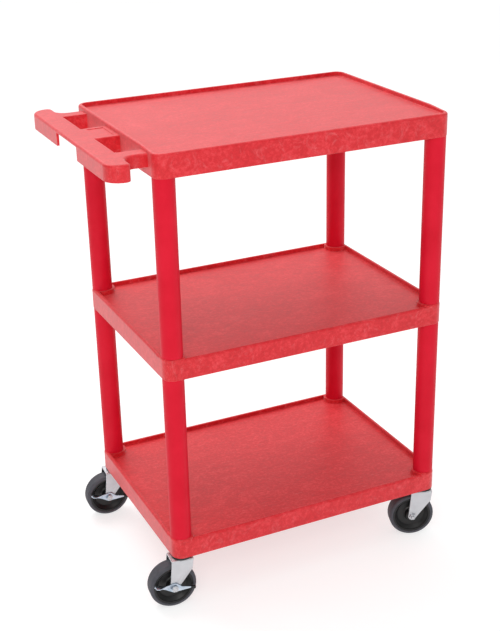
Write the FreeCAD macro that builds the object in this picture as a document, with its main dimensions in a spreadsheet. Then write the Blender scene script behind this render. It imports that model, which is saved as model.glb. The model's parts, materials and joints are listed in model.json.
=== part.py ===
"""Three-shelf moulded utility cart: shelves, legs, a push handle and four swivel casters, two of them braked.

The row frame has its origin on the floor, under the middle of the cart's outer box. +Z is up, the push handle is
at -X and the front, long side is at -Y. Sizes are in millimetres and live in the spreadsheet named Sizes.
"""
import FreeCAD, Part
import math
import os

from FreeCAD import Placement, Rotation, Vector

doc = FreeCAD.newDocument("book_cart")

# ---------------------------------------------------------------- driving dimensions

SIZES = {
    # shelves
    "shelf_width": 640, "shelf_depth": 457, "top_apron": 51, "low_apron": 46,
    "lip_width": 8, "lip_height": 9, "deck_thick": 5, "apron_wall": 5,
    "rib_thick": 4, "rib_inset": 2, "ribs_across": 6, "ribs_along": 4, "lip_round": 5, "edge_round": 1.5,
    "tray_corner": 15, "front_dip": 3, "dip_start": 26, "dip_run": 50, "inner_round": 1.5,
    # legs, which stand on the corner posts and plug into them
    "leg_dia": 44, "leg_inset": 23, "leg_gap": 364, "leg_bore": 30, "spigot_dia": 36, "spigot_len": 20,
    "socket_play": 0.15, "post_radius": 27,
    # push handle
    "handle_reach": 95, "handle_half": 243, "neck_half": 190, "handle_drop": 8, "handle_deep": 33,
    "handle_wall": 5, "bar_width": 45, "hand_hole_in": 43, "hand_hole_out": 156, "panel_deep": 1.2,
    "lobe_round": 32, "hook_round": 12, "hook_hollow": 22, "cord_gap_half": 62, "grip_round": 5.5,
    "hole_round": 2.5, "hook_step": 7,
    # casters
    "caster_height": 118, "wheel_dia": 101.6, "tread_width": 32, "tyre_inner": 43, "tread_round": 6.5,
    "hub_width": 35, "hub_barrel": 13, "web_half": 5, "trail": 25, "fork_inside": 36, "fork_plate": 2.5,
    "crown_z": 113.6, "crown_back": 28, "crown_front": 20, "knee_z": 90, "knee_x": 17, "fork_eye": 9,
    "race_radius": 19, "race_lift": 0.3, "ball_dia": 2.4, "ball_ring": 14, "ball_count": 18,
    "stem_dia": 11, "stem_up": 38, "rivet_radius": 9, "rivet_thick": 2.5, "cap_radius": 22, "cap_gap": 0.5,
    "axle_dia": 8, "sleeve_dia": 12.6, "hub_play": 0.05, "bolt_flat": 13, "bolt_head": 5, "nut_thick": 5,
    # brake pedal
    "lever_thick": 2, "lever_gap": 0.4, "lever_eye": 10, "pedal_half": 45, "pedal_out": 34.5, "pedal_rise": 3.5,
    "pedal_wing": 3.5, "pedal_tilt": 13, "tip_cap_len": 9,
    # how far the turned front right wheel stands out past the shelf's end
    "wheel_overhang": 4.73,
    # how each swivel is turned, in degrees about +Z
    "turn_front_left": -5.5, "turn_front_right": -19, "turn_back_left": -3, "turn_back_right": -12,
}

sheet = doc.addObject("Spreadsheet::Sheet", "Sizes")
for row, (alias, number) in enumerate(SIZES.items(), start=1):
    sheet.set(f"A{row}", alias)
    sheet.set(f"B{row}", str(number))
    sheet.setAlias(f"B{row}", alias)
doc.recompute()

LEFT = "(Sizes.handle_reach - Sizes.shelf_width - Sizes.wheel_overhang) / 2"
RIGHT = "(Sizes.handle_reach + Sizes.shelf_width - Sizes.wheel_overhang) / 2"
FRONT = "-Sizes.shelf_depth / 2"
BACK = "Sizes.shelf_depth / 2"
Z_BOTTOM = "Sizes.caster_height"
Z_MIDDLE = "(Sizes.caster_height + Sizes.low_apron + Sizes.leg_gap)"
Z_TOP = "(Sizes.caster_height + 2 * Sizes.low_apron + 2 * Sizes.leg_gap)"
CORNERS = {
    "front_left": (f"{LEFT} + Sizes.leg_inset", f"{FRONT} + Sizes.leg_inset"),
    "front_right": (f"{RIGHT} - Sizes.leg_inset", f"{FRONT} + Sizes.leg_inset"),
    "back_left": (f"{LEFT} + Sizes.leg_inset", f"{BACK} - Sizes.leg_inset"),
    "back_right": (f"{RIGHT} - Sizes.leg_inset", f"{BACK} - Sizes.leg_inset"),
}
BRAKED = ("front_left", "back_left")
MARGIN = 1  # how far a cutting tool stands out past the face it cuts

subparts = []


def size(expression):
    """The number that an expression over the sheet gives."""
    return float(sheet.evalExpression(expression.replace("Sizes.", "")))


def finish(piece, label):
    """Makes an object of the document a sub-part, with the label that names its file."""
    piece.Label = label
    subparts.append(piece)
    return piece


# ---------------------------------------------------------------- Part helpers


def bind(obj, **expressions):
    for prop, expression in expressions.items():
        obj.setExpression(prop.replace("__", "."), expression)
    return obj


def box(name, x, y, z, length, width, height):
    made = doc.addObject("Part::Box", name)
    return bind(made, Placement__Base__x=x, Placement__Base__y=y, Placement__Base__z=z,
                Length=length, Width=width, Height=height)


def cylinder(name, x, y, z, radius, height):
    made = doc.addObject("Part::Cylinder", name)
    return bind(made, Placement__Base__x=x, Placement__Base__y=y, Placement__Base__z=z,
                Radius=radius, Height=height)


def fuse(name, shapes):
    made = doc.addObject("Part::MultiFuse", name)
    made.Shapes = shapes
    return made


def cut(name, base, tool):
    made = doc.addObject("Part::Cut", name)
    made.Base, made.Tool = base, tool
    return made


def common(name, base, tool):
    made = doc.addObject("Part::MultiCommon", name)
    made.Shapes = [base, tool]
    return made


def rounded(name, base, rules):
    """A Part::Fillet of base, where rules are (test of an edge, radius in mm)."""
    doc.recompute()
    chosen = []
    for number, edge in enumerate(base.Shape.Edges, start=1):
        for test, radius in rules:
            if test(edge):
                chosen.append((number, radius, radius))
                break
    made = doc.addObject("Part::Fillet", name)
    made.Base = base
    made.Edges = chosen
    return made


def vertical(edge):
    a, b = edge.Vertexes[0].Point, edge.Vertexes[-1].Point
    return abs(a.x - b.x) < 1e-6 and abs(a.y - b.y) < 1e-6 and abs(a.z - b.z) > 1e-6


def level_at(height):
    """A test for an edge that lies flat at that height."""
    def test(edge):
        return all(abs(v.Point.z - height) < 1e-4 for v in edge.Vertexes) and abs(
            edge.CenterOfMass.z - height) < 1e-4
    return test


# ---------------------------------------------------------------- PartDesign helpers


def body_of(name):
    return doc.addObject("PartDesign::Body", name)


def sketch_on(body, name, plane, offset=None):
    sketch = body.newObject("Sketcher::SketchObject", name)
    origin = next(f for f in body.Origin.OriginFeatures if f.Role == plane)
    sketch.AttachmentSupport = [(origin, "")]
    sketch.MapMode = "FlatFace"
    if offset:
        sketch.setExpression("AttachmentOffset.Base.z", offset)
    return sketch


def polygon(sketch, corners):
    """A closed outline whose corners are (x, y) expressions, each held by two driving dimensions."""
    import Sketcher
    places = [Vector(size(x), size(y), 0) for x, y in corners]
    first = sketch.GeometryCount
    count = len(places)
    for i, place in enumerate(places):
        sketch.addGeometry(Part.LineSegment(place, places[(i + 1) % count]))
    for i in range(count):
        sketch.addConstraint(Sketcher.Constraint("Coincident", first + i, 2, first + (i + 1) % count, 1))
    for i, (x, y) in enumerate(corners):
        for kind, expression, value in (("DistanceX", x, places[i].x), ("DistanceY", y, places[i].y)):
            index = sketch.addConstraint(Sketcher.Constraint(kind, -1, 1, first + i, 1, value))
            sketch.setExpression(f"Constraints[{index}]", expression)
    return sketch


def circle(sketch, x, y, radius):
    import Sketcher
    place = Vector(size(x), size(y), 0)
    number = sketch.addGeometry(Part.Circle(place, Vector(0, 0, 1), size(radius)))
    for kind, expression, value in (("DistanceX", x, place.x), ("DistanceY", y, place.y)):
        index = sketch.addConstraint(Sketcher.Constraint(kind, -1, 1, number, 3, value))
        sketch.setExpression(f"Constraints[{index}]", expression)
    index = sketch.addConstraint(Sketcher.Constraint("Radius", number, size(radius)))
    sketch.setExpression(f"Constraints[{index}]", radius)
    return sketch


def hexagon(sketch, flat):
    """A hexagon of that width across its flats, about the sketch's origin."""
    return polygon(sketch, [(f"{flat} / sqrt(3) * cos({60 * i})", f"{flat} / sqrt(3) * sin({60 * i})")
                            for i in range(6)])


def pad(body, sketch, name, length, middle=False, flip=False):
    made = body.newObject("PartDesign::Pad", name)
    made.Profile = sketch
    made.Midplane = middle
    made.Reversed = flip
    made.setExpression("Length", length)
    return made


def pocket(body, sketch, name, length, middle=False, flip=False):
    """A Pocket that is checked to remove material."""
    doc.recompute()
    before = body.Shape.Volume
    made = body.newObject("PartDesign::Pocket", name)
    made.Profile = sketch
    made.Midplane = middle
    made.Reversed = flip
    made.setExpression("Length", length)
    doc.recompute()
    if body.Shape.Volume > before - 1e-3:
        raise ValueError(f"{body.Name}: pocket {name} removes nothing")
    return made


def smooth(body, name, radius, test):
    """A PartDesign::Fillet on every edge of the tip that passes the test."""
    doc.recompute()
    tip = body.Tip
    edges = [f"Edge{i}" for i, e in enumerate(tip.Shape.Edges, start=1) if test(e)]
    if not edges:
        raise ValueError(f"{body.Name}: {name} finds no edge")
    made = body.newObject("PartDesign::Fillet", name)
    made.Base = (tip, edges)
    made.setExpression("Radius", radius)
    doc.recompute()
    return made


def turned(name, profile):
    """A body made by turning a profile of (radius, height) expressions about its own Z axis."""
    body = body_of(name)
    sketch = polygon(sketch_on(body, f"{name}_profile", "XZ_Plane"), profile)
    made = body.newObject("PartDesign::Revolution", f"{name}_turn")
    made.Profile = sketch
    made.ReferenceAxis = (sketch, ["V_Axis"])
    made.Angle = 360
    return body


# ---------------------------------------------------------------- shelves


def front_dip(label, z, apron):
    """The tool that lowers the lip along the front, with a ramp in each side's lip."""
    body = body_of(f"{label}_dip")
    top, start, run = f"{z} + {apron}", "Sizes.dip_start", "Sizes.dip_run"
    outline = polygon(sketch_on(body, f"{label}_dip_outline", "YZ_Plane"), [
        (f"{FRONT} - {MARGIN}", f"{top} - Sizes.front_dip"), (f"{FRONT} + {start}", f"{top} - Sizes.front_dip"),
        (f"{FRONT} + {start} + {run}", top), (f"{FRONT} + {start} + {run}", f"{top} + {MARGIN}"),
        (f"{FRONT} - {MARGIN}", f"{top} + {MARGIN}")])
    pad(body, outline, f"{label}_dip_block", f"Sizes.shelf_width + 2 * {MARGIN}", middle=True)
    return bind(body, Placement__Base__x=f"({LEFT} + {RIGHT}) / 2")


def shelf(label, z, apron, post_top, sockets_up, sockets_down, stem_holes):
    """A moulded tray: lipped deck, deep apron, ribs under the deck and a post in each corner for the legs.

    The lip dips along the front, but the posts stay level. post_top is the height of the posts, sockets_up and sockets_down say where the leg sockets open.
    """
    block = box(f"{label}_block", LEFT, FRONT, z, "Sizes.shelf_width", "Sizes.shelf_depth", apron)
    blank = cut(f"{label}_blank", block, front_dip(label, z, apron))
    doc.recompute()
    top = size(z) + size(apron)

    mid_x = size(f"({LEFT} + {RIGHT}) / 2")

    def on_outside(edge):
        """An edge in the plane of one of the four outer walls."""
        room = edge.BoundBox
        at_end = room.XLength < 1e-3 and abs(abs(room.XMin - mid_x) - size("Sizes.shelf_width / 2")) < 1e-3
        at_side = room.YLength < 1e-3 and abs(abs(room.YMin) - size("Sizes.shelf_depth / 2")) < 1e-3
        return at_end or at_side

    def top_rim(edge):
        return on_outside(edge) and not vertical(edge) and edge.BoundBox.ZMin > top - size("Sizes.front_dip") - 1e-3

    rules = [
        (vertical, size("Sizes.leg_inset")),
        (top_rim, size("Sizes.lip_round")),
        (level_at(size(z)), size("Sizes.edge_round")),
    ]
    level = rounded(f"{label}_level", block, rules)
    outer = rounded(f"{label}_outer", blank, rules)
    lip, wall = "Sizes.lip_width", "Sizes.apron_wall"
    deck_top = f"{z} + {apron} - Sizes.lip_height"
    tray_blank = box(f"{label}_tray_blank", f"{LEFT} + {lip}", f"{FRONT} + {lip}", deck_top,
                     f"Sizes.shelf_width - 2 * {lip}", f"Sizes.shelf_depth - 2 * {lip}",
                     f"Sizes.lip_height + {MARGIN}")
    doc.recompute()
    tray = rounded(f"{label}_tray", tray_blank, [
        (vertical, size("Sizes.tray_corner")),
        (level_at(size(deck_top)), size("Sizes.edge_round")),
    ])
    hollow = box(f"{label}_hollow", f"{LEFT} + {wall}", f"{FRONT} + {wall}", f"{z} - {MARGIN}",
                 f"Sizes.shelf_width - 2 * {wall}", f"Sizes.shelf_depth - 2 * {wall}",
                 f"{apron} - Sizes.lip_height - Sizes.deck_thick + {MARGIN}")
    trayed = cut(f"{label}_trayed", outer, tray)
    doc.recompute()
    inner_x = size(f"Sizes.shelf_width / 2 - {lip}") + 1e-3
    inner_y = size(f"Sizes.shelf_depth / 2 - {lip}") + 1e-3

    def inner_rim(edge):
        """The lip's inner top edge."""
        room = edge.BoundBox
        inside = (abs(room.XMin - mid_x) < inner_x and abs(room.XMax - mid_x) < inner_x
                  and abs(room.YMin) < inner_y and abs(room.YMax) < inner_y)
        return inside and room.ZMin > top - size("Sizes.front_dip") - 1e-3

    softened = rounded(f"{label}_softened", trayed, [(inner_rim, size("Sizes.inner_round"))])
    shell = cut(f"{label}_shell", softened, hollow)

    posts = fuse(f"{label}_posts", [
        cylinder(f"{label}_post_{corner}", x, y, z, "Sizes.post_radius", post_top)
        for corner, (x, y) in CORNERS.items()])
    posts_in = common(f"{label}_posts_in", posts, level)

    rib_z = f"{z} + Sizes.rib_inset"
    rib_height = f"{apron} - Sizes.lip_height - Sizes.deck_thick - Sizes.rib_inset + {MARGIN}"
    ribs = []
    for i in range(1, int(size("Sizes.ribs_across")) + 1):
        x = f"{LEFT} + {i} * Sizes.shelf_width / (Sizes.ribs_across + 1) - Sizes.rib_thick / 2"
        ribs.append(box(f"{label}_rib_across_{i}", x, f"{FRONT} + {wall} - {MARGIN}", rib_z, "Sizes.rib_thick",
                        f"Sizes.shelf_depth - 2 * {wall} + 2 * {MARGIN}", rib_height))
    for i in range(1, int(size("Sizes.ribs_along")) + 1):
        y = f"{FRONT} + {i} * Sizes.shelf_depth / (Sizes.ribs_along + 1) - Sizes.rib_thick / 2"
        ribs.append(box(f"{label}_rib_along_{i}", f"{LEFT} + {wall} - {MARGIN}", y, rib_z,
                        f"Sizes.shelf_width - 2 * {wall} + 2 * {MARGIN}", "Sizes.rib_thick", rib_height))
    whole = fuse(f"{label}_whole", [shell, posts_in] + ribs)

    tools = []
    bore = "Sizes.spigot_dia / 2 + Sizes.socket_play"
    for corner, (x, y) in CORNERS.items():
        if sockets_up:
            tools.append(cylinder(f"{label}_socket_up_{corner}", x, y, f"{z} + {apron} - Sizes.spigot_len", bore,
                                  f"Sizes.spigot_len + {MARGIN}"))
        if sockets_down:
            tools.append(cylinder(f"{label}_socket_down_{corner}", x, y, f"{z} - {MARGIN}", bore,
                                  f"Sizes.spigot_len + {MARGIN}"))
        if stem_holes:
            tools.append(cylinder(f"{label}_stem_hole_{corner}", x, y, f"{z} - {MARGIN}", STEM_SOCKET_RADIUS,
                                  f"{apron}"))
    return cut(f"{label}_bored", whole, fuse(f"{label}_bores", tools))


STEM_SOCKET_RADIUS = "(Sizes.stem_dia / 2 + 2.5)"

top_tray = shelf("top_tray", Z_TOP, "Sizes.top_apron", "Sizes.top_apron - Sizes.lip_height - 1", False, True, False)
finish(shelf("middle", Z_MIDDLE, "Sizes.low_apron", "Sizes.low_apron", True, True, False), "middle_shelf")
finish(shelf("bottom", Z_BOTTOM, "Sizes.low_apron", "Sizes.low_apron", True, False, True), "bottom_shelf")


# ---------------------------------------------------------------- legs


def leg(label, x, y, z):
    """A hollow leg with a spigot at each end. z is the height of its lower shoulder."""
    long, plug, bore = "Sizes.leg_gap", "Sizes.spigot_len - 0.5", "Sizes.leg_bore / 2"
    wide, narrow = "Sizes.leg_dia / 2", "Sizes.spigot_dia / 2"
    body = turned(label, [
        (bore, f"-({plug})"), (f"{narrow} - 1", f"-({plug})"), (narrow, f"-({plug}) + 1"), (narrow, "0"),
        (wide, "0"), (wide, long), (narrow, long), (narrow, f"{long} + {plug} - 1"),
        (f"{narrow} - 1", f"{long} + {plug}"), (bore, f"{long} + {plug}"),
    ])
    bind(body, Placement__Base__x=x, Placement__Base__y=y, Placement__Base__z=z)
    return finish(body, label)


for corner, (x, y) in CORNERS.items():
    leg(f"lower_leg_{corner}", x, y, f"{Z_BOTTOM} + Sizes.low_apron")
    leg(f"upper_leg_{corner}", x, y, f"{Z_MIDDLE} + Sizes.low_apron")
doc.recompute()


# ---------------------------------------------------------------- push handle, moulded into the top shelf


def push_handle():
    """A hollow moulding open underneath, with two hand holes, a hook at each end and a gap for cord in its rim.

    Its own X runs outwards from the shelf's side and its Y along that side. Its top is its own z = 0.
    """
    body = body_of("push_handle")
    reach, half, neck = "Sizes.handle_reach", "Sizes.handle_half", "Sizes.neck_half"
    inner = "(Sizes.handle_reach - Sizes.bar_width)"
    wall, deep = "Sizes.handle_wall", "Sizes.handle_deep"
    outline = polygon(sketch_on(body, "handle_outline", "XY_Plane"), [
        ("0", f"-{neck}"), (f"-{inner}", f"-{neck}"), (f"-{inner}", f"-{half}"), (f"-{reach}", f"-{half}"),
        (f"-{reach}", half), (f"-{inner}", half), (f"-{inner}", neck), ("0", neck)])
    pad(body, outline, "handle_block", deep, flip=True)

    def upright_at(x, y):
        def test(edge):
            centre = edge.CenterOfMass
            return vertical(edge) and abs(abs(centre.x) - size(x)) < 1e-3 and abs(abs(centre.y) - size(y)) < 1e-3
        return test

    smooth(body, "lobe_corner", "Sizes.lobe_round", upright_at(reach, half))
    smooth(body, "hook_tip", "Sizes.hook_round", upright_at(inner, half))
    smooth(body, "hook_hollow", "Sizes.hook_hollow", upright_at(inner, neck))

    top_rim = level_at(0)
    smooth(body, "grip_edge", "Sizes.grip_round",
           lambda e: top_rim(e) and e.CenterOfMass.x < -MARGIN)

    # The space under the bar follows its outline, one wall in. Shorter spaces lie under the web and both ends.
    plate = f"-{wall}"
    inner_in = f"({inner} + {wall})"
    chamfer = "(Sizes.lobe_round / 2)"
    space = polygon(sketch_on(body, "bar_space", "XY_Plane", plate), [
        (f"-{inner_in}", f"-{half} + {wall} + 6"), (f"-{inner_in} - 6", f"-{half} + {wall}"),
        (f"-{reach} + {wall} + {chamfer}", f"-{half} + {wall}"), (f"-{reach} + {wall}", f"-{half} + {wall} + {chamfer}"),
        (f"-{reach} + {wall}", f"{half} - {wall} - {chamfer}"), (f"-{reach} + {wall} + {chamfer}", f"{half} - {wall}"),
        (f"-{inner_in} - 6", f"{half} - {wall}"), (f"-{inner_in}", f"{half} - {wall} - 6")])
    pocket(body, space, "bar_space_cut", deep)
    lower, upper = "Sizes.hand_hole_in", "Sizes.hand_hole_out"
    for name, low, high in (("web", f"-{lower} + {wall}", f"{lower} - {wall}"),
                            ("near_end", f"-{neck} + {wall}", f"-{upper} - {wall}"),
                            ("far_end", f"{upper} + {wall}", f"{neck} - {wall}")):
        room = polygon(sketch_on(body, f"{name}_space", "XY_Plane", plate), [
            ("0", low), ("0", high), (f"-{inner_in} - 1", high), (f"-{inner_in} - 1", low)])
        pocket(body, room, f"{name}_space_cut", deep)
    for name, low, high in (("near", f"-{upper}", f"-{lower}"), ("far", lower, upper)):
        hole = polygon(sketch_on(body, f"{name}_hand_hole", "XY_Plane"), [
            (f"{MARGIN}", low), (f"{MARGIN}", high), (f"-{inner}", high), (f"-{inner}", low)])
        pocket(body, hole, f"{name}_hand_hole_cut", f"{deep} + {MARGIN}")
    hole_ends = [size(f"Sizes.{key}") for key in ("hand_hole_in", "hand_hole_out")]

    def hole_rim(edge):
        """The top edges of the hand holes, but for the shelf's side."""
        centre = edge.CenterOfMass
        along = abs(centre.x + size(inner)) < 1e-3 and abs(centre.y) < hole_ends[1]
        across = edge.BoundBox.YLength < 1e-3 and min(abs(abs(centre.y) - end) for end in hole_ends) < 1e-3
        return top_rim(edge) and (along or across)

    smooth(body, "hole_edge", "Sizes.hole_round", hole_rim)
    panel = polygon(sketch_on(body, "web_panel", "XY_Plane"), [
        ("-8", f"-{lower} + 10"), ("-8", f"{lower} - 10"), (f"-{inner} + 8", f"{lower} - 10"),
        (f"-{inner} + 8", f"-{lower} + 10")])
    pocket(body, panel, "web_panel_cut", "Sizes.panel_deep")
    for name, side in (("near", -1), ("far", 1)):
        edge_y, end_y = f"{side} * ({neck} - {wall} - 1)", f"{side} * ({half} + {MARGIN})"
        low = polygon(sketch_on(body, f"{name}_hook_step", "XY_Plane", f"-{deep} + Sizes.hook_step"), [
            (f"{MARGIN}", edge_y), (f"{MARGIN}", end_y), (f"-{inner} + 14", end_y), (f"-{inner} + 14", edge_y)])
        pocket(body, low, f"{name}_hook_step_cut", "Sizes.hook_step + 1")
    gap = polygon(sketch_on(body, "cord_gap", "XY_Plane", f"{plate} - 1"), [
        (f"-{reach} - {MARGIN}", "-Sizes.cord_gap_half"), (f"-{reach} - {MARGIN}", "Sizes.cord_gap_half"),
        (f"-{reach} + {wall} + {MARGIN}", "Sizes.cord_gap_half"),
        (f"-{reach} + {wall} + {MARGIN}", "-Sizes.cord_gap_half")])
    pocket(body, gap, "cord_gap_cut", deep)
    bind(body, Placement__Base__x=LEFT, Placement__Base__z=f"{Z_TOP} + Sizes.top_apron - Sizes.handle_drop")
    return body


finish(fuse("top_shelf_whole", [top_tray, push_handle()]), "top_shelf")
doc.recompute()


# ---------------------------------------------------------------- casters


def caster_place(corner):
    """Where a caster's own frame stands: on the floor under its swivel, turned as it trails."""
    x, y = CORNERS[corner]
    turn = Rotation(Vector(0, 0, 1), size(f"Sizes.turn_{corner}"))
    return Placement(Vector(size(x), size(y), 0), turn)


def wheel_place(corner):
    """A frame at the wheel's centre whose Z is the axle, pointing out of the brake side."""
    centre = Placement(Vector(-size("Sizes.trail"), 0, size("Sizes.wheel_dia / 2")), Rotation(Vector(1, 0, 0), 90))
    return caster_place(corner).multiply(centre)


def put(body, label, place):
    body.Placement = place
    return finish(body, label)


def stem(corner):
    """The swivel pin: a rivet head under the crown and a plain stem that goes up into the corner post."""
    pin, head = "Sizes.stem_dia / 2", "Sizes.rivet_radius"
    under = "(Sizes.crown_z - Sizes.fork_plate - 0.2)"
    top = "Sizes.caster_height + Sizes.stem_up"
    body = turned(f"caster_stem_{corner}", [
        ("0", f"{under} - Sizes.rivet_thick"), (f"{head} - 1", f"{under} - Sizes.rivet_thick"),
        (head, f"{under} - 1"), (head, under), (pin, under), (pin, f"{top} - 1.5"), (f"{pin} - 1.5", top),
        ("0", top)])
    return put(body, f"caster_stem_{corner}", caster_place(corner))


def stem_socket(corner):
    """The plastic sleeve that grips the stem inside the corner post."""
    low = "Sizes.caster_height + 0.1"
    high = "(Sizes.caster_height + Sizes.low_apron - Sizes.spigot_len - 0.5)"
    body = turned(f"stem_socket_{corner}", [
        ("Sizes.stem_dia / 2 + 0.05", low), (f"{STEM_SOCKET_RADIUS} - 0.05", low),
        (f"{STEM_SOCKET_RADIUS} - 0.05", high), ("Sizes.stem_dia / 2 + 0.05", high)])
    return put(body, f"stem_socket_{corner}", caster_place(corner))


def dust_cap(corner):
    """The upper ball race: a shallow cup that does not turn, with a skirt over the balls."""
    top, low = "Sizes.caster_height", "Sizes.crown_z + Sizes.race_lift + Sizes.ball_dia"
    bore, rim = "Sizes.stem_dia / 2 + 0.1", "Sizes.cap_radius"
    body = turned(f"swivel_cap_{corner}", [
        (bore, f"{low} + 0.1"), (f"{rim} - 2", f"{low} + 0.1"), (f"{rim} - 2", "Sizes.crown_z + Sizes.cap_gap"),
        (rim, "Sizes.crown_z + Sizes.cap_gap"), (rim, f"{top} - 1.5"), (f"{rim} - 1.5", top), (bore, top)])
    return put(body, f"swivel_cap_{corner}", caster_place(corner))


def balls(corner):
    """The ring of balls that carries the swivel."""
    count = int(size("Sizes.ball_count"))
    ring = []
    for i in range(count):
        ball = doc.addObject("Part::Sphere", f"ball_{corner}_{i}")
        bind(ball, Radius="Sizes.ball_dia / 2 - 0.02")
        angle = 2 * math.pi * i / count
        ball.Placement.Base = Vector(size("Sizes.ball_ring") * math.cos(angle),
                                     size("Sizes.ball_ring") * math.sin(angle),
                                     size("Sizes.crown_z + Sizes.race_lift + Sizes.ball_dia / 2 + 0.05"))
        ring.append(ball)
    group = doc.addObject("Part::Compound", f"swivel_balls_{corner}")
    group.Links = ring
    group.Placement = caster_place(corner)
    return finish(group, f"swivel_balls_{corner}")


def fork(corner):
    """The bent plate that carries the wheel: a crown with a round race on it and two trailing legs."""
    body = body_of(f"fork_{corner}")
    axle_z = "(Sizes.wheel_dia / 2)"
    eye = "Sizes.fork_eye"
    wide = "(Sizes.fork_inside + 2 * Sizes.fork_plate)"
    side = polygon(sketch_on(body, "fork_side", "XZ_Plane"), [
        ("-Sizes.crown_back", "Sizes.crown_z"), ("Sizes.crown_front", "Sizes.crown_z"),
        ("Sizes.knee_x", "Sizes.knee_z"), (f"-Sizes.trail + {eye} * 0.83", f"{axle_z} - {eye} * 0.56"),
        (f"-Sizes.trail - {eye} * 0.99", axle_z)])
    pad(body, side, "fork_sides", wide, middle=True)
    eyes = circle(sketch_on(body, "fork_eyes", "XZ_Plane"), "-Sizes.trail", axle_z, eye)
    pad(body, eyes, "fork_eye_ends", wide, middle=True)

    def bend(edge):
        a, b = edge.Vertexes[0].Point, edge.Vertexes[-1].Point
        return (level_at(size("Sizes.crown_z"))(edge) and abs(a.y - b.y) < 1e-6 and abs(a.x - b.x) > 1)

    def crown_corner(edge):
        a, b = edge.Vertexes[0].Point, edge.Vertexes[-1].Point
        return (level_at(size("Sizes.crown_z"))(edge) and abs(a.x - b.x) < 1e-6 and abs(a.y - b.y) > 10)

    smooth(body, "fork_bend", "Sizes.fork_plate + 1", bend)
    smooth(body, "crown_end", "1", crown_corner)
    room = polygon(sketch_on(body, "wheel_room", "XZ_Plane"), [
        ("-80", "0"), ("80", "0"), ("80", "Sizes.crown_z - Sizes.fork_plate"),
        ("-80", "Sizes.crown_z - Sizes.fork_plate")])
    pocket(body, room, "wheel_room_cut", "Sizes.fork_inside", middle=True)
    race = circle(sketch_on(body, "race", "XY_Plane", "Sizes.crown_z"), "0", "0", "Sizes.race_radius")
    pad(body, race, "race_pad", "Sizes.race_lift")
    king = circle(sketch_on(body, "king_hole", "XY_Plane", "Sizes.crown_z + 2"), "0", "0",
                  "Sizes.stem_dia / 2 + 0.1")
    pocket(body, king, "king_hole_cut", "10")
    axle = circle(sketch_on(body, "axle_holes", "XZ_Plane"), "-Sizes.trail", axle_z, "Sizes.axle_dia / 2 + 0.1")
    pocket(body, axle, "axle_holes_cut", f"{wide} + 2", middle=True)
    return put(body, f"fork_{corner}", caster_place(corner))


def tyre(corner):
    """The grey rubber tread, with rounded shoulders, moulded round the rim."""
    half, outer, inner = "Sizes.tread_width / 2", "Sizes.wheel_dia / 2", "Sizes.tyre_inner"
    body = turned(f"tyre_{corner}", [
        (inner, f"-{half} + 1"), (f"{inner} + 1", f"-{half}"), (outer, f"-{half}"), (outer, half),
        (f"{inner} + 1", half), (inner, f"{half} - 1")])
    smooth(body, "shoulders", "Sizes.tread_round",
           lambda e: abs(e.BoundBox.XMax - size(outer)) < 1e-3 and e.BoundBox.ZLength < 1e-6)
    return put(body, f"tyre_{corner}", wheel_place(corner))


def wheel_hub(corner):
    """The black moulded wheel centre: rim, thin dished web and a barrel that runs on the sleeve."""
    rim, barrel, web = "Sizes.tyre_inner - 0.02", "Sizes.hub_barrel", "Sizes.web_half"
    edge, face = "(Sizes.tread_width / 2 - 1.5)", "(Sizes.hub_width / 2)"
    bore = "Sizes.sleeve_dia / 2 + Sizes.hub_play"
    half = [(bore, face), (f"{barrel} - 1", face), (barrel, f"{face} - 1"), (f"{barrel} + 2", f"{web} + 2"),
            (f"{barrel} + 5", web), (f"{rim} - 12", web), (f"{rim} - 5", f"{edge} - 2"), (f"{rim} - 4", edge),
            (rim, edge)]
    mirrored = [(x, f"-({y})") for x, y in reversed(half)]
    body = turned(f"wheel_hub_{corner}", half + mirrored)
    return put(body, f"wheel_hub_{corner}", wheel_place(corner))


def axle_sleeve(corner):
    """The steel sleeve that the hub turns on, clamped between the fork's legs."""
    half = "(Sizes.fork_inside / 2 - 0.02)"
    inner, outer = "Sizes.axle_dia / 2 + 0.1", "Sizes.sleeve_dia / 2"
    body = turned(f"axle_sleeve_{corner}", [(inner, f"-{half}"), (outer, f"-{half}"), (outer, half), (inner, half)])
    return put(body, f"axle_sleeve_{corner}", wheel_place(corner))


def axle_bolt(corner):
    """A hex-head bolt through the fork and the sleeve, its head on the plain side."""
    out = "(Sizes.fork_inside / 2 + Sizes.fork_plate + 0.05)"
    reach = f"({out} + 2 * Sizes.lever_gap + Sizes.lever_thick + Sizes.nut_thick + 0.8)"
    body = turned(f"axle_bolt_{corner}", [
        ("0", f"-{out} - 0.5"), ("Sizes.axle_dia / 2", f"-{out} - 0.5"), ("Sizes.axle_dia / 2", f"{reach} - 1"),
        ("Sizes.axle_dia / 2 - 1", reach), ("0", reach)])
    head = hexagon(sketch_on(body, "bolt_flats", "XY_Plane", f"-{out}"), "Sizes.bolt_flat")
    pad(body, head, "bolt_head", "Sizes.bolt_head", flip=True)
    return put(body, f"axle_bolt_{corner}", wheel_place(corner))


def axle_nut(corner):
    """The lock nut at the bolt's end, outside the brake pedal where there is one."""
    seat = "(Sizes.fork_inside / 2 + Sizes.fork_plate + 0.05)"
    if corner in BRAKED:
        seat = f"({seat} + 2 * Sizes.lever_gap + Sizes.lever_thick)"
    body = body_of(f"axle_nut_{corner}")
    flats = hexagon(sketch_on(body, "nut_flats", "XY_Plane", seat), "Sizes.bolt_flat")
    pad(body, flats, "nut_block", "Sizes.nut_thick")
    thread = circle(sketch_on(body, "nut_thread", "XY_Plane", f"{seat} - 1"), "0", "0", "Sizes.axle_dia / 2")
    pocket(body, thread, "nut_bore", "Sizes.nut_thick + 2", flip=True)
    return put(body, f"axle_nut_{corner}", wheel_place(corner))


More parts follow.
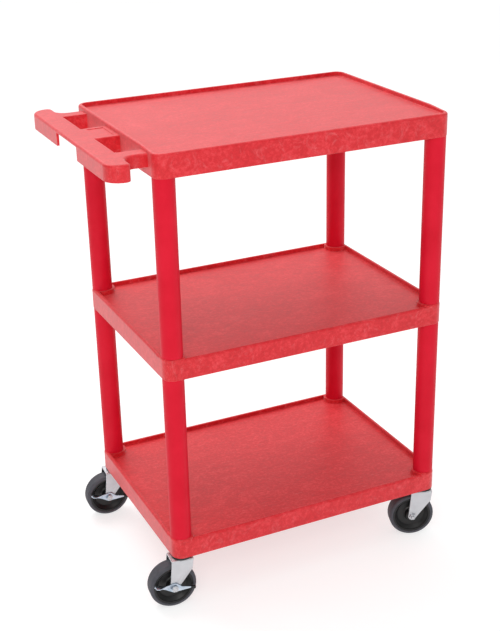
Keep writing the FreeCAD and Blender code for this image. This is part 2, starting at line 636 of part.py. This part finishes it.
def brake_place(corner):
    """The pedal's frame: at the axle, X along the wheel and Z up, rocked to its released tilt."""
    centre = Placement(Vector(-size("Sizes.trail"), 0, size("Sizes.wheel_dia / 2")),
                       Rotation(Vector(0, 1, 0), size("Sizes.pedal_tilt")))
    return caster_place(corner).multiply(centre)


PEDAL_FACE = "(Sizes.fork_inside / 2 + Sizes.fork_plate + 0.05 + Sizes.lever_gap)"
PEDAL_LOW = "(Sizes.pedal_rise - Sizes.pedal_wing)"


def brake_pedal(corner):
    """A stamped pedal that rocks on the axle outside the fork: a bow-tie web with a step bent out at one end."""
    body = body_of(f"brake_pedal_{corner}")
    face, eye, thick, out = PEDAL_FACE, "Sizes.lever_eye", "Sizes.lever_thick", "Sizes.pedal_out"
    long, rise, low = "Sizes.pedal_half", "Sizes.pedal_rise", PEDAL_LOW
    web = polygon(sketch_on(body, "pedal_web", "XZ_Plane", face), [
        (f"-{long}", f"{rise} + 1.5"), ("-19", f"{rise} + 1"), ("-2", f"{eye} + 1"), ("2", f"{eye} + 1"),
        ("16", f"{rise} + 0.5"), (f"{long} - 10", rise), (long, rise), (long, low), (f"{long} - 10", low),
        ("9", f"-{eye} + 2.5"), ("2", f"-{eye}"), ("-2", f"-{eye}"), ("-20", f"{low} - 4"), (f"-{long}", f"{low} - 0.5")])
    pad(body, web, "pedal_web_plate", thick)
    step = polygon(sketch_on(body, "pedal_step", "XZ_Plane", face), [
        (f"-{long}", f"{rise} + 1.5"), ("-19", f"{rise} + 1"), ("-19", f"{rise} + 1 - {thick}"),
        (f"-{long}", f"{rise} + 1.5 - {thick}")])
    pad(body, step, "pedal_step_plate", f"{out} - {face}")
    # the step narrows to nothing on its way to the middle
    waste = polygon(sketch_on(body, "pedal_step_outline", "XY_Plane"), [
        ("-19", f"-{face} - {thick}"), ("-36", f"-{out}"), ("-36", f"-{out} - {MARGIN}"), ("-19", f"-{out} - {MARGIN}")])
    pocket(body, waste, "pedal_step_cut", "40", middle=True)
    hole = circle(sketch_on(body, "pedal_bore", "XZ_Plane", f"{face} - 1"), "0", "0",
                  "Sizes.axle_dia / 2 + 0.1")
    pocket(body, hole, "pedal_bore_cut", f"{thick} + 2", flip=True)
    smooth(body, "step_corners", "3", lambda e: vertical(e) and abs(e.CenterOfMass.y + size(out)) < 1e-3)
    return put(body, f"brake_pedal_{corner}", brake_place(corner))


def pedal_tip_cap(corner):
    """The black sleeve pushed over the narrow end of the pedal."""
    face, thick, long, low = PEDAL_FACE, "Sizes.lever_thick", "Sizes.pedal_half", PEDAL_LOW
    start = f"{long} - Sizes.tip_cap_len"
    body = body_of(f"pedal_tip_{corner}")
    block = polygon(sketch_on(body, "cap_block", "XY_Plane", f"{low} - 1.3"), [
        (start, f"-{face} + 1.2"), (start, f"-{face} - {thick} - 1.2"), (f"{long} + 1.4", f"-{face} - {thick} - 1.2"),
        (f"{long} + 1.4", f"-{face} + 1.2")])
    pad(body, block, "cap_body", "Sizes.pedal_wing + 2.6")
    smooth(body, "cap_round", "0.8", lambda e: e.CenterOfMass.x > size(start) + 1 and e.Length > 1)
    room = polygon(sketch_on(body, "cap_room", "XY_Plane", f"{low} + 0.02"), [
        (f"{start} - {MARGIN}", f"-{face} - {thick} - 0.1"), (f"{start} - {MARGIN}", f"-{face} + 0.1"),
        (f"{long} + 0.1", f"-{face} + 0.1"), (f"{long} + 0.1", f"-{face} - {thick} - 0.1")])
    pocket(body, room, "cap_room_cut", "Sizes.pedal_wing - 0.04", flip=True)
    return put(body, f"pedal_tip_{corner}", brake_place(corner))


for corner in CORNERS:
    for make in (stem, stem_socket, dust_cap, balls, fork, tyre, wheel_hub, axle_sleeve, axle_bolt, axle_nut):
        make(corner)
    if corner in BRAKED:
        brake_pedal(corner)
        pedal_tip_cap(corner)


# ---------------------------------------------------------------- checks and export

doc.recompute()
for thing in doc.Objects:
    if "Invalid" in thing.State or "Error" in thing.State:
        raise ValueError(f"{thing.Name} failed: {thing.State}")
for piece in subparts:
    if piece.Shape.isNull() or not piece.Shape.isValid():
        raise ValueError(f"{piece.Label} has no valid shape")

os.makedirs("parts", exist_ok=True)
for old in os.listdir("parts"):
    os.remove(os.path.join("parts", old))
for piece in subparts:
    piece.Shape.exportStep(f"parts/{piece.Label}.step")
print(f"{len(subparts)} sub-parts written")
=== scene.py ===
"""The looks of a three-shelf moulded utility cart: its finishes, eased edges, floor, light and camera."""
import json
import math

import bmesh
import bpy
from mathutils import Matrix, Vector


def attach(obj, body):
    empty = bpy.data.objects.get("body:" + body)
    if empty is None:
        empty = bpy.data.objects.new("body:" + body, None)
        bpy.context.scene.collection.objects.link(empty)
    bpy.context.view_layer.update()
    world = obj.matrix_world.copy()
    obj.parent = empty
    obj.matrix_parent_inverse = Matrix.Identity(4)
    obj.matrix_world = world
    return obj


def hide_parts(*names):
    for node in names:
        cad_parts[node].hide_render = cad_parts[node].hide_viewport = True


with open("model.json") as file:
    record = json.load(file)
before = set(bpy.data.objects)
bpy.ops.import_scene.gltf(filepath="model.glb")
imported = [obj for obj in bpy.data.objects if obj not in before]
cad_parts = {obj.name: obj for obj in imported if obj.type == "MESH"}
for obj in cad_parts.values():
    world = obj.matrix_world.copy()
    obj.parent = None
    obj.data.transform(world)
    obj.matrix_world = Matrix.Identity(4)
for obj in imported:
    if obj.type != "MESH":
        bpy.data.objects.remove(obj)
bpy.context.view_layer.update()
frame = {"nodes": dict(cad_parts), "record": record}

CORNERS = ("front_left", "front_right", "back_left", "back_right")
BRAKED = ("front_left", "back_left")
# the sockets of a Mix node that hold colours
MIX_A, MIX_B, MIX_OUT = 6, 7, 2
MM_PER_M = 1000

# each CAD piece that is shown with eased edges: its new name and the width of the easing, in mm
EASED = {
    "fork": ("fork_plate", 0.5),
    "axle_nut": ("lock_nut", 0.6),
    "axle_bolt": ("hex_bolt", 0.5),
    "brake_pedal": ("pedal_plate", 0.45),
}
EASE_STEPS = 2
WELD_M = 1e-6
# edges between faces that meet at less than this angle are only the mesh's own seams
FLAT_DEGREES = 0.5
# edges sharper than this are eased
SHARP_DEGREES = 38
# edges duller than this are shaded as one round surface
SMOOTH_DEGREES = 32

FLOOR_HALF_M = 40
# just under the wheels, so that they don't share a surface
FLOOR_DROP_M = 0.0005

# what the lamps point at, in the middle of the cart
LAMP_AIM = (0, 0, 0.5)

# the camera: where it stands, its lens, its heading clockwise from +Y, and its tilt down and roll
CAMERA_AT = (-1.0442, -2.2647, 1.5886)
LENS_MM = 70.66
SENSOR_MM = 36
# nothing nearer or farther than this is drawn, in metres
CLIP_M = (0.05, 200)
HEADING_DEGREES = 25.05
TILT_DEGREES = 22.97
ROLL_DEGREES = -1.26


# ---------------------------------------------------------------- helpers


def colour(hex_code):
    """An sRGB hex value as linear RGBA."""
    channels = [int(hex_code[i:i + 2], 16) / 255 for i in (1, 3, 5)]
    return [c / 12.92 if c <= 0.04045 else ((c + 0.055) / 1.055) ** 2.4 for c in channels] + [1.0]


def per_mm(size):
    """The scale of a pattern whose features are that many millimetres across."""
    return MM_PER_M / size


def add(tree, kind, links=None, sockets=None, **settings):
    """Adds a node. sockets holds its inputs' values and links what feeds them, by name or number."""
    made = tree.nodes.new(kind)
    for name, value in settings.items():
        setattr(made, name, value)
    for name, value in (sockets or {}).items():
        made.inputs[name].default_value = value
    for name, source in (links or {}).items():
        tree.links.new(source, made.inputs[name])
    return made


def start_material(name):
    """A new material with an empty node tree."""
    material = bpy.data.materials.new(name)
    material.use_nodes = True
    material.node_tree.nodes.clear()
    return material, material.node_tree


def end_material(tree, shader):
    """Feeds the shader to the material's output."""
    add(tree, "ShaderNodeOutputMaterial", {"Surface": shader.outputs["BSDF"]})


def stops(ramp, *pairs):
    """Sets a colour ramp's stops from (position, colour) pairs and gives the ramp back."""
    elements = ramp.color_ramp.elements
    while len(elements) > len(pairs):
        elements.remove(elements[-1])
    while len(elements) < len(pairs):
        elements.new(1.0)
    for element, (position, value) in zip(elements, pairs):
        element.position = position
        element.color = value
    return ramp


def grey(value):
    """A linear grey as RGBA."""
    return [value, value, value, 1.0]


# ---------------------------------------------------------------- finishes

# how much rougher the dullest patch of a piece is than its glossiest
GLOSS_SPREAD = 0.12
# the clouds in a dark finish are this many times wider than its grain
CLOUD_PER_GRAIN = 9


def foamed_polyethylene():
    """Structural-foam polyethylene, moulded: satin red with flow swirls, a mottled skin and pale scuffs."""
    material, tree = start_material("foamed_polyethylene_moulded")
    place = add(tree, "ShaderNodeTexCoord").outputs["Object"]
    # the melt swirls outwards as it fills the tool, in clouds about as wide as a hand
    streaks = add(tree, "ShaderNodeMapping", {"Vector": place},
                  {"Scale": (1, 1.7, 1.3), "Rotation": (0, 0, 0.9)})
    swirl = add(tree, "ShaderNodeTexNoise", {"Vector": streaks.outputs["Vector"]},
                {"Scale": per_mm(110), "Detail": 8, "Roughness": 0.66, "Distortion": 1.8})
    # gas at the skin leaves blotches a few millimetres wide
    mottle = add(tree, "ShaderNodeTexNoise", {"Vector": place},
                 {"Scale": per_mm(7), "Detail": 5, "Roughness": 0.75, "Distortion": 0.4})
    # the real grain is under a millimetre, and is drawn coarser so that it shows
    grain = add(tree, "ShaderNodeTexNoise", {"Vector": place}, {"Scale": per_mm(2.6), "Detail": 3})
    # sliding books leave thin pale arcs
    scuff_place = add(tree, "ShaderNodeMapping", {"Vector": place},
                      {"Scale": (1, 7, 1), "Rotation": (0, 0, 1.0)})
    scuff = add(tree, "ShaderNodeTexNoise", {"Vector": scuff_place.outputs["Vector"]},
                {"Scale": per_mm(45), "Detail": 9, "Roughness": 0.78, "Distortion": 2.6})
    scuffed = add(tree, "ShaderNodeMapRange", {"Value": scuff.outputs["Fac"]},
                  {"From Min": 0.53, "From Max": 0.72, "To Min": 0.0, "To Max": 0.26})
    blend = add(tree, "ShaderNodeMix", {"A": swirl.outputs["Fac"], "B": mottle.outputs["Fac"]},
                {"Factor": 0.62})
    tint = stops(add(tree, "ShaderNodeValToRGB", {"Fac": blend.outputs["Result"]}),
                 (0.36, colour("#c4101c")), (0.50, colour("#d41a25")), (0.62, colour("#e33840")))
    rubbed = add(tree, "ShaderNodeMix", {"Factor": scuffed.outputs["Result"], MIX_A: tint.outputs["Color"]},
                 {MIX_B: colour("#ee9a9d")}, data_type="RGBA")
    gloss = add(tree, "ShaderNodeMapRange", {"Value": blend.outputs["Result"]},
                {"From Min": 0.3, "From Max": 0.7, "To Min": 0.40, "To Max": 0.50})
    flow_bump = add(tree, "ShaderNodeBump", {"Height": swirl.outputs["Fac"]},
                    {"Strength": 0.14, "Distance": 0.0015})
    grain_bump = add(tree, "ShaderNodeBump",
                     {"Height": grain.outputs["Fac"], "Normal": flow_bump.outputs["Normal"]},
                     {"Strength": 0.45, "Distance": 0.0003})
    # the chalky skin turns pale where it is seen at a low angle
    shader = add(tree, "ShaderNodeBsdfPrincipled",
                 {"Base Color": rubbed.outputs[MIX_OUT], "Roughness": gloss.outputs["Result"],
                  "Normal": grain_bump.outputs["Normal"]},
                 {"IOR": 1.52, "Specular IOR Level": 0.38, "Sheen Weight": 0.26, "Sheen Roughness": 0.40})
    end_material(tree, shader)
    return material


def extruded_leg_plastic():
    """Polyethylene tube, extruded: a smoother, slightly bluer red than the shelves, with faint draw lines."""
    material, tree = start_material("polyethylene_tube_extruded")
    place = add(tree, "ShaderNodeTexCoord").outputs["Object"]
    drawn = add(tree, "ShaderNodeMapping", {"Vector": place}, {"Scale": (1, 1, 0.02)})
    # the die's lines are finer than this, and are drawn coarser so that they show
    lines = add(tree, "ShaderNodeTexNoise", {"Vector": drawn.outputs["Vector"]},
                {"Scale": per_mm(3), "Detail": 3})
    cloud = add(tree, "ShaderNodeTexNoise", {"Vector": place}, {"Scale": per_mm(60), "Detail": 3})
    tint = stops(add(tree, "ShaderNodeValToRGB", {"Fac": cloud.outputs["Fac"]}),
                 (0.30, colour("#cf1029")), (0.70, colour("#d91831")))
    bump = add(tree, "ShaderNodeBump", {"Height": lines.outputs["Fac"]},
               {"Strength": 0.12, "Distance": 0.0002})
    shader = add(tree, "ShaderNodeBsdfPrincipled",
                 {"Base Color": tint.outputs["Color"], "Normal": bump.outputs["Normal"]},
                 {"IOR": 1.50, "Roughness": 0.42, "Specular IOR Level": 0.12})
    end_material(tree, shader)
    return material


def bright_steel(name, dark, light, roughness, cloud_mm):
    """Bare or plated steel: pale grey with a cloudy sheen and rolling marks too fine to feel."""
    material, tree = start_material(name)
    place = add(tree, "ShaderNodeTexCoord").outputs["Object"]
    cloud = add(tree, "ShaderNodeTexNoise", {"Vector": place},
                {"Scale": per_mm(cloud_mm), "Detail": 5, "Roughness": 0.55})
    rolled = add(tree, "ShaderNodeMapping", {"Vector": place}, {"Scale": (1, 1, 0.08)})
    marks = add(tree, "ShaderNodeTexNoise", {"Vector": rolled.outputs["Vector"]},
                {"Scale": per_mm(0.8), "Detail": 2})
    tint = stops(add(tree, "ShaderNodeValToRGB", {"Fac": cloud.outputs["Fac"]}),
                 (0.32, colour(dark)), (0.66, colour(light)))
    gloss = add(tree, "ShaderNodeMapRange", {"Value": cloud.outputs["Fac"]},
                {"From Min": 0.3, "From Max": 0.7, "To Min": roughness, "To Max": roughness + GLOSS_SPREAD})
    bump = add(tree, "ShaderNodeBump", {"Height": marks.outputs["Fac"]},
               {"Strength": 0.10, "Distance": 0.0001})
    shader = add(tree, "ShaderNodeBsdfPrincipled",
                 {"Base Color": tint.outputs["Color"], "Roughness": gloss.outputs["Result"],
                  "Normal": bump.outputs["Normal"]}, {"Metallic": 1.0})
    end_material(tree, shader)
    return material


def dull_black(name, dark, light, roughness, grain_mm, grain_depth_mm):
    """Rubber, plastic or oxide that is black or dark grey: soft clouding, rubbed patches and a fine grain."""
    material, tree = start_material(name)
    place = add(tree, "ShaderNodeTexCoord").outputs["Object"]
    cloud = add(tree, "ShaderNodeTexNoise", {"Vector": place},
                {"Scale": per_mm(grain_mm * CLOUD_PER_GRAIN), "Detail": 5, "Roughness": 0.6})
    grain = add(tree, "ShaderNodeTexNoise", {"Vector": place}, {"Scale": per_mm(grain_mm), "Detail": 2})
    tint = stops(add(tree, "ShaderNodeValToRGB", {"Fac": cloud.outputs["Fac"]}),
                 (0.32, colour(dark)), (0.68, colour(light)))
    gloss = add(tree, "ShaderNodeMapRange", {"Value": cloud.outputs["Fac"]},
                {"From Min": 0.3, "From Max": 0.7, "To Min": roughness, "To Max": roughness + GLOSS_SPREAD})
    bump = add(tree, "ShaderNodeBump", {"Height": grain.outputs["Fac"]},
               {"Strength": 0.25, "Distance": grain_depth_mm / MM_PER_M})
    shader = add(tree, "ShaderNodeBsdfPrincipled",
                 {"Base Color": tint.outputs["Color"], "Roughness": gloss.outputs["Result"],
                  "Normal": bump.outputs["Normal"]}, {"IOR": 1.50})
    end_material(tree, shader)
    return material


FINISHES = {
    "shelf_plastic": foamed_polyethylene(),
    "leg_plastic": extruded_leg_plastic(),
    # passivated clear, so nearly white with a soft satin
    "zinc_steel": bright_steel("steel_stamped_zinc_plated", "#c2c4c8", "#cfd1d5",
                               roughness=0.34, cloud_mm=26),
    # the pedal's brighter plate has a blue cast
    "pedal_steel": bright_steel("steel_stamped_blue_zinc", "#a9b9ca", "#d3deea",
                                roughness=0.20, cloud_mm=14),
    # oiled after blacking, so it keeps a low gleam
    "black_steel": dull_black("steel_pressed_black_oxide", "#0b0b0d", "#17171a",
                              roughness=0.40, grain_mm=1.2, grain_depth_mm=0.05),
    # ground bare, so the glossiest metal here
    "ball_steel": bright_steel("steel_ground_bright", "#a8a8a8", "#c4c4c4",
                               roughness=0.16, cloud_mm=4),
    # glossy enough to catch a soft light on the dish
    "hub_plastic": dull_black("polypropylene_black_moulded", "#060607", "#0d0d0f",
                              roughness=0.42, grain_mm=1.6, grain_depth_mm=0.06),
    # non-marking grey rubber, dusted lighter where it has rubbed
    "tyre_rubber": dull_black("rubber_grey_moulded", "#3c3c43", "#4b4b53",
                              roughness=0.60, grain_mm=1.5, grain_depth_mm=0.10),
    # dipped, so smooth and a little shiny
    "tip_vinyl": dull_black("vinyl_black_dipped", "#08080a", "#101013",
                            roughness=0.35, grain_mm=1.5, grain_depth_mm=0.05),
    # moulded dull, and mostly hidden in its socket
    "socket_plastic": dull_black("nylon_black_moulded", "#0c0c0e", "#151518",
                                 roughness=0.45, grain_mm=1.5, grain_depth_mm=0.05),
}

SLOT_OF = {entry["node"]: entry["material_slot"] for entry in frame["record"]["subparts"]}
BODIES = frame["record"]["behaviour"]["bodies"]
BODY_OF = {node: body for body, nodes in BODIES.items() for node in nodes}


def give_finish(obj, slot):
    """Gives a piece the finish of its slot and nothing else."""
    obj.data.materials.clear()
    obj.data.materials.append(FINISHES[slot])


for node, slot in SLOT_OF.items():
    give_finish(frame["nodes"][node], slot)


# ---------------------------------------------------------------- pieces with eased edges


def eased(node, name, width_mm):
    """A copy of a CAD piece whose sharp edges are rounded, as stamping and plating leave them."""
    mesh = frame["nodes"][node].data.copy()
    mesh.name = name
    shape = bmesh.new()
    shape.from_mesh(mesh)
    bmesh.ops.remove_doubles(shape, verts=shape.verts, dist=WELD_M)
    bmesh.ops.dissolve_limit(shape, angle_limit=math.radians(FLAT_DEGREES),
                             verts=shape.verts, edges=shape.edges)
    least = math.radians(SHARP_DEGREES)
    sharp = [edge for edge in shape.edges if edge.is_manifold and edge.calc_face_angle(0) > least]
    bmesh.ops.bevel(shape, geom=sharp, offset=width_mm / MM_PER_M, segments=EASE_STEPS, profile=0.5,
                    affect="EDGES", clamp_overlap=True)
    shape.to_mesh(mesh)
    shape.free()
    mesh.shade_smooth()
    mesh.set_sharp_from_angle(angle=math.radians(SMOOTH_DEGREES))
    obj = bpy.data.objects.new(name, mesh)
    bpy.context.scene.collection.objects.link(obj)
    give_finish(obj, SLOT_OF[node])
    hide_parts(node)
    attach(obj, BODY_OF[node])


for corner in CORNERS:
    for piece, (name, width_mm) in EASED.items():
        if piece != "brake_pedal" or corner in BRAKED:
            eased(f"{piece}_{corner}", f"{name}_{corner}", width_mm)


# ---------------------------------------------------------------- floor, light and camera


def floor():
    """A pale seamless floor."""
    material, tree = start_material("floor_pale_matt")
    place = add(tree, "ShaderNodeTexCoord").outputs["Object"]
    cloud = add(tree, "ShaderNodeTexNoise", {"Vector": place}, {"Scale": per_mm(900), "Detail": 2})
    tint = stops(add(tree, "ShaderNodeValToRGB", {"Fac": cloud.outputs["Fac"]}),
                 (0.3, grey(0.44)), (0.7, grey(0.46)))
    # a little light of its own keeps the floor pale in the cart's shade
    shader = add(tree, "ShaderNodeBsdfPrincipled", {"Base Color": tint.outputs["Color"]},
                 {"Roughness": 0.9, "Specular IOR Level": 0.1,
                  "Emission Color": grey(1.0), "Emission Strength": 0.64})
    end_material(tree, shader)
    mesh = bpy.data.meshes.new("floor")
    half = FLOOR_HALF_M
    corners = [(-half, -half, 0), (half, -half, 0), (half, half, 0), (-half, half, 0)]
    mesh.from_pydata(corners, [], [(0, 1, 2, 3)])
    obj = bpy.data.objects.new("floor", mesh)
    obj.location.z = -FLOOR_DROP_M
    obj.data.materials.append(material)
    bpy.context.scene.collection.objects.link(obj)


def soft_box(name, place, size, watts, tint):
    """A rectangular lamp that faces the cart."""
    light = bpy.data.lights.new(name, "AREA")
    light.shape = "RECTANGLE"
    light.size, light.size_y = size
    light.energy = watts
    light.color = colour(tint)[:3]
    obj = bpy.data.objects.new(name, light)
    obj.location = place
    obj.rotation_euler = (Vector(LAMP_AIM) - Vector(place)).to_track_quat("-Z", "Y").to_euler()
    bpy.context.scene.collection.objects.link(obj)


def room_light():
    """The room's own light: brightest overhead, and dimmer in front and to the left."""
    world = bpy.data.worlds.new("studio")
    world.use_nodes = True
    tree = world.node_tree
    way = add(tree, "ShaderNodeSeparateXYZ", {"Vector": add(tree, "ShaderNodeTexCoord").outputs["Generated"]})
    # for each axis of the way looked, where its ramp starts and ends and how bright it is at each end
    ramps = {"Y": (-0.7, 0.6, 0.62, 1.0), "X": (-0.9, 0.2, 0.50, 1.0), "Z": (0.1, 0.9, 0.60, 1.36)}
    level = None
    for axis, (start, end, dim, bright) in ramps.items():
        ramp = add(tree, "ShaderNodeMapRange", {"Value": way.outputs[axis]},
                   {"From Min": start, "From Max": end, "To Min": dim, "To Max": bright}).outputs["Result"]
        if level is None:
            level = ramp
        else:
            level = add(tree, "ShaderNodeMath", {0: level, 1: ramp}, operation="MULTIPLY").outputs["Value"]
    background = tree.nodes["Background"]
    tree.links.new(level, background.inputs["Strength"])
    background.inputs["Color"].default_value = grey(1.0)
    bpy.context.scene.world = world


def camera():
    """A long-lens view from above the handle end's front corner."""
    lens = bpy.data.cameras.new("camera")
    lens.sensor_fit = "AUTO"
    lens.sensor_width = SENSOR_MM
    lens.lens = LENS_MM
    lens.clip_start, lens.clip_end = CLIP_M
    obj = bpy.data.objects.new("camera", lens)
    heading = Matrix.Rotation(math.radians(-HEADING_DEGREES), 4, "Z")
    tilt = Matrix.Rotation(math.radians(90 - TILT_DEGREES), 4, "X")
    roll = Matrix.Rotation(math.radians(ROLL_DEGREES), 4, "Z")
    obj.matrix_world = Matrix.Translation(CAMERA_AT) @ heading @ tilt @ roll
    bpy.context.scene.collection.objects.link(obj)
    bpy.context.scene.camera = obj


floor()
room_light()
soft_box("key", place=(-1.6, -2.6, 2.2), size=(1.4, 1.4), watts=39, tint="#fffdfa")
soft_box("overhead", place=(-0.7, 2.0, 3.3), size=(2.4, 1.8), watts=56, tint="#ffffff")
camera()
bpy.context.scene.view_settings.view_transform = "Standard"
